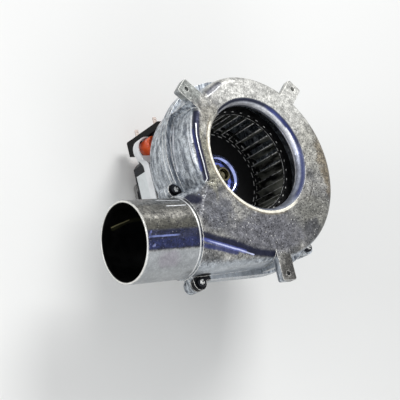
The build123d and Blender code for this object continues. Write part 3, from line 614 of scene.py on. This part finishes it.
@dataclass(frozen=True)
class Laminated:
    """Varnished stack of thin sheets whose edges show as fine lines across Z."""

    name: str
    colour: str = "1b1d20"
    edge: str = "3a3c40"
    sheet: float = 0.65

    def build(self) -> bpy.types.Material:
        """Makes the material."""
        board = Board(self.name)
        wave = board.calc("SINE", board.calc("MULTIPLY", board.z, 2.0 * math.pi / self.sheet))
        lines = board.span(wave, -0.2, 0.9)
        worn = board.span(board.noise(7.0, 5.0), 0.45, 0.7)
        colour = board.mix(board.calc("MULTIPLY", lines, worn), tint(self.colour), tint(self.edge))
        board.set(Base_Color=colour, Metallic=0.15, Specular_IOR_Level=0.2,
                  Roughness=board.span(worn, 0.0, 1.0, 0.35, 0.6),
                  Normal=board.relief(lines, 0.08, board.soften(0.2)))
        return board.material


@dataclass(frozen=True)
class Moulded:
    """Moulded plastic with a slight sheen, dust and a fine surface."""

    name: str
    colour: str
    dust: str
    dusty: float = 0.3
    rough: float = 0.42
    specular: float = 0.5

    def build(self) -> bpy.types.Material:
        """Makes the material."""
        board = Board(self.name)
        film = board.calc("MULTIPLY", board.span(board.noise(9.0, 5.0, 0.6), 0.4, 0.75), self.dusty)
        colour = board.mix(film, tint(self.colour), tint(self.dust))
        fine = board.noise(0.9, 3.0, 0.6, shift=2.0)
        board.set(Base_Color=colour, Specular_IOR_Level=self.specular,
                  Roughness=board.span(film, 0.0, 0.5, self.rough, self.rough + 0.2),
                  Normal=board.relief(fine, 0.03, board.soften(0.3)))
        return board.material


@dataclass(frozen=True)
class WoundWire:
    """Enamelled copper wire laid side by side across X or round a bundle."""

    name: str
    colour: str = "e0561c"
    deep: str = "5e1e0a"
    pitch: float = 0.5
    along_y: bool = False

    def build(self) -> bpy.types.Material:
        """Makes the material."""
        board = Board(self.name)
        line = board.y if self.along_y else board.x
        wander = board.calc("MULTIPLY", board.noise(5.0, 2.0), 1.2 * self.pitch)
        turn = board.calc("MULTIPLY", board.calc("ADD", line, wander), 2.0 * math.pi / self.pitch)
        wires = board.span(board.calc("SINE", turn), -1.0, 1.0)
        tone = board.calc("MULTIPLY", board.span(board.noise(6.0, 3.0, shift=9.0), 0.35, 0.7), wires)
        colour = board.mix(tone, tint(self.deep), tint(self.colour))
        board.set(Base_Color=colour, Metallic=0.35, Roughness=0.28, Coat_Weight=0.5,
                  Coat_Roughness=0.15, Normal=board.relief(wires, 0.15))
        return board.material


@dataclass(frozen=True)
class ImpellerSheet:
    """Dark coated steel sheet, with painted light on the blade faces and painted highlights on the cut
    edges, bent tabs and rows of feet.
    """

    name: str
    colour: str = "060607"
    lit: str = "9c9d92"
    # Colour of the painted highlights on the cut edges, tabs and feet
    worn: str = "e6e6e2"
    edge_r: float = 40.2
    disc_z: float = -55.2
    ring_z: float = -19.2
    blades: int = 33

    def build(self) -> bpy.types.Material:
        """Makes the material."""
        board = Board(self.name)
        # Noise that breaks up the painted highlights and varies the roughness
        patchiness = board.span(board.noise(2.6, 4.0), 0.36, 0.56)
        radius = board.radius()
        blade = board.window(board.z, self.disc_z + 0.5, self.ring_z - 1.6, 0.3)
        face = board.span(board.noise(8.0, 4.0, 0.6, (1.0, 1.0, 2.5), 8.0), 0.35, 0.62)
        # Painted light on the blade faces, in patches
        colour = board.mix(board.calc("MULTIPLY", blade, face), tint(self.colour), tint(self.lit))
        turn = board.calc("ARCTAN2", board.y, board.x)
        beat = board.calc("SINE", board.calc("MULTIPLY", turn, float(self.blades)))
        # Painted highlights: folded tabs, the ring's cut rim, the blades' inner edges, stronger towards
        # +Y, and the disc's rows of feet
        folded = board.both(board.span(board.z, self.ring_z + 0.05, self.ring_z + 0.25),
                            board.window(radius, 41.9, 42.5, 0.12), board.span(beat, -0.5, 0.2))
        rim = board.both(board.window(radius, self.edge_r - 0.5, self.edge_r + 0.12, 0.05),
                         board.span(board.z, self.ring_z - 0.45, self.ring_z - 0.2), patchiness)
        inner = board.both(board.window(radius, self.edge_r - 0.5, self.edge_r + 0.2, 0.05), blade, patchiness,
                           board.span(board.y, -20.0, 25.0, 0.45, 1.0))
        low = board.window(board.z, self.disc_z - 0.3, self.disc_z + 0.3, 0.1)
        feet = board.calc("MAXIMUM", board.window(radius, 37.9, 38.6, 0.12),
                          board.window(radius, 43.9, 45.3, 0.2))
        feet = board.calc("MAXIMUM", board.both(feet, board.span(beat, -0.6, 0.2)),
                          board.both(board.window(radius, 40.5, 41.0, 0.1), board.span(beat, 0.4, -0.4)))
        mask = board.calc("MAXIMUM", board.calc("MAXIMUM", folded, board.calc("MULTIPLY", rim, 0.7)),
                          board.calc("MAXIMUM", inner, board.both(feet, low, board.span(patchiness, 0.0, 0.4))))
        colour = board.mix(mask, colour, tint(self.worn))
        board.set(Base_Color=colour, Metallic=board.span(mask, 0.0, 1.0, 0.4, 0.0),
                  Roughness=board.span(patchiness, 0.0, 1.0, 0.42, 0.6),
                  Normal=board.relief(board.noise(2.0, 4.0, shift=6.0), 0.05, board.soften(0.15)))
        return board.material


@dataclass(frozen=True)
class Lamp:
    """A square soft lamp that faces the fan: its place and side in metres, and its power in watts."""

    name: str
    place: tuple
    size: float
    watts: float

    def build(self) -> None:
        """Hangs the lamp."""
        data = bpy.data.lights.new(self.name, "AREA")
        data.size = self.size
        data.energy = self.watts
        lamp = bpy.data.objects.new(self.name, data)
        lamp.location = self.place
        lamp.rotation_mode = "QUATERNION"
        lamp.rotation_quaternion = Vector(self.place).to_track_quat("Z", "Y")
        bpy.context.scene.collection.objects.link(lamp)


@dataclass
class Studio:
    """Camera, lamps, world and floor."""

    eye: tuple = (-0.545694, -0.220172, 0.578313)
    right: tuple = (0.784992, -0.231517, 0.574619)
    down: tuple = (-0.035801, -0.942948, -0.331011)
    ahead: tuple = (0.618471, 0.239269, -0.748495)
    focal: float = 1076.9254 / 400.0
    sensor: float = 36.0
    seen_from: float = 0.01
    seen_to: float = 20.0
    floor_z: float = -0.1215
    floor_half: float = 3.0
    sky: tuple = (0.95, 0.97, 1.0, 1.0)
    sky_light: float = 0.45
    lamps: tuple = (
        Lamp("key", (0.35, 0.75, 0.85), 0.5, 9.0),
        Lamp("side", (-0.95, 0.1, 0.25), 0.4, 4.0),
        Lamp("low", (-0.3, -0.9, 0.4), 0.5, 3.0),
    )

    def camera(self) -> None:
        """Sets the camera at the photograph's place."""
        data = bpy.data.cameras.new("camera")
        data.sensor_width = self.sensor
        data.lens = self.sensor * self.focal
        data.clip_start = self.seen_from
        data.clip_end = self.seen_to
        camera = bpy.data.objects.new("camera", data)
        columns = (Vector(self.right), -Vector(self.down), -Vector(self.ahead))
        turn = Matrix(columns).transposed().to_4x4()
        camera.matrix_world = Matrix.Translation(self.eye) @ turn
        bpy.context.scene.collection.objects.link(camera)
        bpy.context.scene.camera = camera

    def floor(self) -> None:
        """Lays a pale floor under the motor."""
        board = Board("floor_paper")
        path = board.node("ShaderNodeLightPath", {})
        shown = board.calc("MAXIMUM", path.outputs["Is Camera Ray"], path.outputs["Is Glossy Ray"])
        board.set(Base_Color=board.mix(shown, tint("c8c8c6"), tint("eeeeec")), Roughness=0.9,
                  Specular_IOR_Level=0.1)
        data = bpy.data.meshes.new("floor")
        half = self.floor_half
        corners = [(x, y, self.floor_z) for x, y in ((-half, -half), (half, -half), (half, half),
                                                     (-half, half))]
        data.from_pydata(corners, [], [(0, 1, 2, 3)])
        data.materials.append(board.material)
        floor = bpy.data.objects.new("floor", data)
        bpy.context.scene.collection.objects.link(floor)

    def world(self) -> None:
        """Makes a plain sky: white where it is seen, weaker where it only gives light."""
        world = bpy.data.worlds.new("studio")
        bpy.context.scene.world = world
        world.use_nodes = True
        tree = world.node_tree
        back = tree.nodes["Background"]
        path = tree.nodes.new("ShaderNodeLightPath")
        seen = path.outputs["Is Camera Ray"]
        for ray in ("Is Transmission Ray", "Is Glossy Ray"):
            either = tree.nodes.new("ShaderNodeMath")
            either.operation = "MAXIMUM"
            tree.links.new(seen, either.inputs[0])
            tree.links.new(path.outputs[ray], either.inputs[1])
            seen = either.outputs[0]
        level = tree.nodes.new("ShaderNodeMapRange")
        level.inputs["To Min"].default_value = self.sky_light
        level.inputs["To Max"].default_value = 1.0
        tree.links.new(seen, level.inputs["Value"])
        tree.links.new(level.outputs[0], back.inputs["Strength"])
        back.inputs["Color"].default_value = self.sky

    def build(self) -> None:
        """Makes the whole studio and its colour management."""
        bpy.context.scene.view_settings.view_transform = "Standard"
        self.camera()
        self.floor()
        self.world()
        for lamp in self.lamps:
            lamp.build()


# Colours of painted light on the casting: NAVY, BLUE and STEEL are painted dark reflections, WHITE and
# CREAM painted highlights
NAVY = "11152f"
BLUE = "2b3468"
STEEL = "59658e"
WHITE = "f6f7fa"
CREAM = "f4efdf"
ALL_ROUND = (0.0, 180.0, 0.0)

# Tones of the front face: lighter towards the top and upper right as painted light, darker towards the
# bottom, with brown and olive stains at the right rim and left of the inlet
FACE_TONES = (
    StainAndLightPatch((8.0, 60.0, 0.0), (66.0, 30.0, 12.0), "c0bfba", 0.95, 0.5),
    StainAndLightPatch((44.0, 40.0, 0.0), (30.0, 30.0, 12.0), "c8c7c1", 0.9, 0.5),
    StainAndLightPatch((58.0, 5.0, 0.0), (16.0, 30.0, 8.0), "b2b0a7", 0.8, 0.6),
    StainAndLightPatch((66.0, -12.0, 0.0), (8.0, 40.0, 8.0), "776a54", 0.75, 0.7),
    StainAndLightPatch((42.0, -50.0, 0.0), (28.0, 22.0, 8.0), "7a7972", 0.85, 0.6),
    StainAndLightPatch((34.0, -62.0, 0.0), (12.0, 9.0, 8.0), "3f4046", 0.8, 0.8),
    StainAndLightPatch((-12.0, -64.0, 0.0), (48.0, 20.0, 8.0), "68686e", 0.9, 0.5),
    StainAndLightPatch((-55.0, -42.0, 0.0), (20.0, 22.0, 8.0), "63646a", 0.9, 0.5),
    StainAndLightPatch((-51.0, -6.0, 0.0), (9.0, 34.0, 8.0), "8b8878", 0.85, 0.6),
    StainAndLightPatch((-40.0, 32.0, 0.0), (14.0, 12.0, 8.0), "86837a", 0.85, 0.7),
    StainAndLightPatch((2.0, -92.0, 0.0), (12.0, 14.0, 7.0), "4e4c48", 0.9, 0.4),
    StainAndLightPatch((-54.0, 54.0, 0.0), (16.0, 16.0, 8.0), "858884", 0.85, 0.4),
)

# Painted reflections and highlights on the inlet's rounded lip: a grey base, navy and blue bands, white
# and cream highlight lines, and a lighter beige rim
LIP_REFLECTIONS = (
    Ring((30.0, 46.4, 0.3), (-9.0, -0.25, 0.3), ALL_ROUND, "9499a6", 1.0),
    Ring((30.0, 46.6, 0.3), (-6.4, -2.7, 1.0), (70.0, 56.0, 20.0), WHITE, 0.85),
    Ring((30.0, 46.6, 0.3), (-2.4, -0.2, 0.8), (70.0, 56.0, 16.0), NAVY, 0.95),
    Ring((30.0, 46.6, 0.3), (-2.9, -0.8, 0.8), (38.0, 16.0, 12.0), BLUE, 0.9),
    Ring((30.0, 46.6, 0.3), (-3.0, -0.2, 1.2), (-22.0, 24.0, 14.0), BLUE, 0.85),
    Ring((30.0, 46.6, 0.3), (-6.2, -3.4, 0.9), (-16.0, 24.0, 14.0), "c9cede", 0.8),
    Ring((30.0, 46.6, 0.3), (-8.4, -7.0, 0.3), (0.0, 34.0, 10.0), WHITE, 0.9),
    Ring((30.0, 46.6, 0.3), (-8.4, -6.6, 0.5), (80.0, 40.0, 12.0), "4a4f5c", 0.8),
    Ring((30.0, 46.6, 0.3), (-3.6, -2.4, 0.3), (25.0, 4.0, 3.0), WHITE, 0.95),
    Ring((46.2, 48.4, 0.25), (-1.0, 1.0, 0.2), (225.0, 70.0, 14.0), CREAM, 0.95),
    Ring((48.4, 49.6, 0.5), (-1.0, 1.0, 0.2), (215.0, 60.0, 20.0), "8a7f6a", 0.6),
    Ring((43.0, 46.4, 0.5), (-4.5, 0.2, 0.4), (150.0, 14.0, 8.0), CREAM, 0.85),
)

# Painted reflections on the casting's roundings and walls: navy and blue bands with white highlight lines,
# a pale patch on the lower wall, near-black painted dark reflections on two screw lugs, a bright line
# along the right rim, and a faint dark line along a groove on the face
BEND_REFLECTIONS = (
    Streak(((-50.3, 33.0, -1.2), (-54.4, 21.8, -0.7), (-56.2, 13.1, -0.5), (-56.4, 5.0, -0.4),
            (-56.3, -2.8, -0.6), (-56.3, -11.1, -1.1), (-55.4, -18.1, -2.0)), 3.6, NAVY, 0.97, 0.6),
    Streak(((-57.6, 20.0, -1.6), (-58.6, 5.0, -1.2), (-58.2, -11.7, -2.2)), 1.4, BLUE, 0.8, 0.9),
    Streak(((-53.8, 24.4, -0.5), (-55.9, 15.2, -0.3), (-56.4, 8.7, -0.2), (-56.4, 0.2, -0.2),
            (-56.0, -7.4, -0.3), (-55.6, -14.4, -0.9), (-54.9, -18.4, -1.4), (-55.7, -20.6, -3.4)),
           0.5, WHITE, 0.9, 0.8),
    Streak(((-53.8, 31.6, -3.3), (-58.1, 19.7, -2.8), (-59.4, 10.0, -2.6)), 0.9, WHITE, 0.7, 0.9),
    Streak(((-57.0, 26.1, -5.7), (-60.4, 12.9, -5.2), (-61.0, 7.2, -4.9), (-61.0, -8.0, -5.0)),
           0.7, WHITE, 0.6, 0.9),
    Streak(((-56.1, 31.3, -23.7), (-60.2, 20.0, -23.0), (-61.6, 13.7, -23.5), (-62.0, -4.0, -24.0)),
           1.2, WHITE, 0.85, 0.8),
    Streak(((-58.0, 33.0, -26.6), (-63.5, 18.0, -26.6), (-64.6, 4.0, -26.6), (-64.0, -10.0, -26.6)),
           0.8, "4b525e", 0.8, 0.8),
    Streak(((-34.7, 49.4, -0.4), (-29.7, 52.9, -0.4), (-21.3, 57.8, -0.6)), 3.2, NAVY, 0.8, 1.0),
    Streak(((-36.0, 46.5, 0.0), (-30.0, 50.0, 0.0), (-22.0, 55.0, 0.0)), 0.6, WHITE, 0.6, 0.9),
    # Pale painted light over the lower wall
    StainAndLightPatch((-38.0, -87.0, -20.0), (46.0, 16.0, 19.0), "aeb3b8", 0.85, 0.5, Layer.OVER),
    Streak(((-72.6, -60.7, -1.5), (-60.9, -64.9, -0.5), (-47.4, -68.6, -0.4), (-26.8, -76.7, -1.9),
            (-9.7, -79.5, -1.6)), 3.8, NAVY, 0.97, 0.75),
    Streak(((-72.0, -68.0, -3.5), (-59.6, -71.0, -2.8), (-43.2, -75.6, -3.3)), 2.4, BLUE, 0.85, 0.9),
    Streak(((-72.9, -63.5, -2.2), (-59.7, -68.2, -1.5), (-43.5, -73.2, -1.8), (-36.0, -75.6, -2.4)),
           1.9, "5a66b4", 0.75, 1.0),
    Streak(((-72.9, -63.5, -2.2), (-59.7, -68.2, -1.5), (-43.5, -73.2, -1.8), (-28.0, -78.2, -3.1)),
           0.75, "d4dafc", 0.9, 1.0),
    Streak(((48.4, -24.6, 0.0), (43.4, -32.9, 0.0), (37.5, -41.1, 0.0)), 0.45, "3c3831", 0.8),
    Streak(((-70.5, -31.0, -9.0), (-66.8, -34.5, -5.0)), 6.0, NAVY, 0.95, 0.6),
    Streak(((-66.0, -27.5, -4.0), (-62.5, -36.0, -1.2)), 0.6, "aab0c8", 0.7, 0.9),
    # Near-black painted dark reflections on the faces of two screw lugs
    Streak(((-68.4, -18.5, -25.0), (-66.0, -19.5, -25.0)), 5.6, "0b0d14", 1.0, 0.2),
    Streak(((-66.0, -91.5, -26.0), (-60.5, -88.0, -26.0)), 7.4, "0a0b11", 1.0, 0.2),
    # Painted highlight along the right rim
    Streak(((69.9, 14.0, -2.6), (72.2, -3.0, -2.6), (70.0, -24.0, -2.6), (63.5, -42.0, -2.6),
            (54.0, -57.0, -2.6), (42.0, -69.0, -2.6)), 1.1, "ecebe6", 0.8, 0.9),
)

COLLAR = (-74.3, -73.2, 0.25)
BARREL = (-130.0, -72.0, 0.1)
# Paints of the outlet pipe: bands by direction round the pipe that are painted reflections (grey, dark
# olive, navy and light grey), violet and pale painted reflection patches, white painted highlights along
# the top, painted highlights round the collar and the mouth, and a few dark smudges
PIPE_PAINTS = (
    PipeBand((60.0, 34.0, 10.0), BARREL, "747574"),
    PipeBand((20.0, 18.0, 8.0), BARREL, "696761"),
    PipeBand((6.0, 5.0, 7.0), BARREL, "3e3d36", 0.85),
    PipeBand((-15.0, 11.0, 5.0), BARREL, "1a2040", 0.95),
    PipeBand((-20.0, 3.0, 5.0), BARREL, BLUE, 0.5),
    PipeBand((-9.8, 0.4, 1.2), (-116.0, -93.0, 3.0), "7f8ac0", 0.9, Layer.OVER),
    PipeBand((-70.0, 38.0, 5.0), BARREL, "a6a9ab", 0.9, Layer.OVER),
    StainAndLightPatch((-100.0, -75.0, -10.0), (12.0, 9.0, 12.0), "9a949c", 0.7, 0.9, Layer.OVER),
    StainAndLightPatch((-116.5, -57.0, -1.0), (2.2, 2.0, 2.0), "8f98d8", 0.5, 0.9, Layer.OVER),
    StainAndLightPatch((-116.0, -63.8, -2.3), (1.6, 2.6, 2.0), "a9b0e4", 0.45, 0.9, Layer.OVER),
    Streak(((-96.1, -29.7, -13.8), (-77.5, -31.0, -12.0)), 0.8, WHITE, 0.95, 0.8),
    Streak(((-93.0, -36.4, -6.8), (-76.2, -36.2, -7.0)), 0.7, WHITE, 0.95, 0.8),
    Streak(((-88.0, -28.6, -15.4), (-81.0, -28.8, -15.2)), 1.4, "0b0b0d", 0.95, 0.5),
    Streak(((-108.3, -42.0, -3.5), (-98.9, -42.2, -3.4)), 1.4, "2c2b2a", 0.7, 0.9),
    Streak(((-94.3, -51.7, -0.9), (-88.5, -50.0, -1.1), (-81.5, -45.9, -2.0)), 1.2, "33322f", 0.6, 0.9),
    PipeBand((-10.0, 60.0, 30.0), COLLAR, "f2f2f0", 0.9, Layer.OVER),
    PipeBand((0.0, 180.0, 0.0), (-130.0, -119.3, 0.2), "e8e7e2", 0.8, Layer.OVER),
)

SCREW_ZINC = TurnedMetal("screw_zinc", "d8d8d4", rough=(0.15, 0.3))
TURNED_STEEL = TurnedMetal("turned_steel", "7d7660", grime_and_reflection=0.6)
BRACKET_ALLOY = TurnedMetal("bracket_alloy", "8d8d8c", grime_and_reflection=0.5, rough=(0.3, 0.55))
LAMINATION = Laminated("lamination_varnish")
GRAPHITE = Moulded("graphite", "161616", "2c2c2c")
TURNS_WIRE = WoundWire("turns_wire", "ff6a12", "d0440c", along_y=True)
WHITE_NYLON = Moulded("white_nylon", "dfe1e3", "8f8d8c")


@dataclass
class Wardrobe:
    """Materials made so far, so that pieces of one finish share one material."""

    made: dict = field(default_factory=dict)

    def put(self, finish: object, *pieces: str) -> None:
        """Dresses CAD pieces in a finish.

        Args:
            finish: The finish, which is built when it is first used.
            *pieces: Names of the pieces' CAD nodes.
        """
        if finish not in self.made:
            self.made[finish] = finish.build()
        for piece in pieces:
            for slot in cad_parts[piece].material_slots:
                slot.material = self.made[finish]
            LOG.info("%s in %s", piece, finish.name)


@dataclass
class Casing:
    """Cast shells and arms, the outlet pipe, their screws and the shaft's seal."""

    arm_seats: tuple = ((136.5, 66.35), (45.6, 70.43), (269.0, 85.21))
    screw_places: tuple = ((-67.7, -18.5), (-64.1, -89.9), (49.4, -70.8), (80.1, 7.1), (41.0, 62.8))
    pipe_inside: float = 28.6

    def dress(self, wardrobe: Wardrobe) -> None:
        """Dresses the casing's pieces."""
        casting = CastMetal("cast_casing", seats=self.arm_seats, paints=FACE_TONES + BEND_REFLECTIONS + LIP_REFLECTIONS)
        pipe = CastMetal("cast_pipe", side="aeb2b5", side_reflection_dark="8b8d90", specks=0.2,
                         paints=PIPE_PAINTS, hollow=self.pipe_inside)
        wardrobe.put(casting, "front_shell", "mounting_arms", "rear_shell")
        wardrobe.put(pipe, "outlet_spigot")
        wardrobe.put(ScrewHeads("screw_heads", places=self.screw_places), "casing_screws")
        wardrobe.put(SCREW_ZINC, "seal_screws")
        wardrobe.put(BRACKET_ALLOY, "seal_plate")
        wardrobe.put(GRAPHITE, "shaft_seal")


@dataclass
class Impeller:
    """Bladed drum, its hub and what holds them to the shaft."""

    eye_r: float = 40.2
    disc_z: float = -55.2
    ring_z: float = -19.2
    blades: int = 33

    def dress(self, wardrobe: Wardrobe) -> None:
        """Dresses the impeller's pieces."""
        sheet = ImpellerSheet("impeller_sheet", edge_r=self.eye_r, disc_z=self.disc_z,
                              ring_z=self.ring_z, blades=self.blades)
        wardrobe.put(sheet, "impeller_blades", "impeller_front_ring", "impeller_back_disc")
        # The hub dome's blue tint and navy smears are painted reflections in the chrome
        wardrobe.put(TurnedMetal("hub_polish", "aab4ea", "20284a", (0.05, 0.14), 0.55), "hub_dome")
        wardrobe.put(TURNED_STEEL, "hub_boss", "hub_rivets", "hub_nut")


@dataclass
class Motor:
    """Shaded-pole motor: stack, coil, guard, terminals, rotor, shaft, bearings and brackets."""

    wire: float = 0.5

    def dress(self, wardrobe: Wardrobe) -> None:
        """Dresses the motor's pieces."""
        wardrobe.put(TURNED_STEEL, "shaft", "bearing_clips")
        wardrobe.put(SCREW_ZINC, "motor_screws")
        wardrobe.put(BRACKET_ALLOY, "front_bracket", "rear_bracket", "rotor_end_rings")
        wardrobe.put(TurnedMetal("sintered_bronze", "9a7442", rough=(0.3, 0.5)), "bearings")
        wardrobe.put(LAMINATION, "stator_core", "core_bar", "rotor_core")
        wardrobe.put(WoundWire("coil_wire", pitch=self.wire), "coil_winding")
        wardrobe.put(TURNS_WIRE, "coil_end_turns", "shading_rings")
        wardrobe.put(WHITE_NYLON, "coil_bobbin", "lead_guard")
        wardrobe.put(Moulded("black_nylon", "040405", "1c1c1e", 0.3, specular=0.12),
                     "terminal_carrier")
        wardrobe.put(GRAPHITE, "thrust_spacers")
        wardrobe.put(TurnedMetal("tinned_brass", "b9aca4"), "spade_terminals")
        wardrobe.put(Moulded("label_paper", "d5dadb", "a9acad"), "rating_label")


def main() -> None:
    """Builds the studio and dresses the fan's sub-assemblies in order."""
    logging.basicConfig(level=logging.INFO, format="%(name)s: %(message)s")
    Studio().build()
    wardrobe = Wardrobe()
    for assembly in (Casing(), Impeller(), Motor()):
        LOG.info("dressing %s", type(assembly).__name__)
        assembly.dress(wardrobe)


if __name__ == "__main__":
    main()
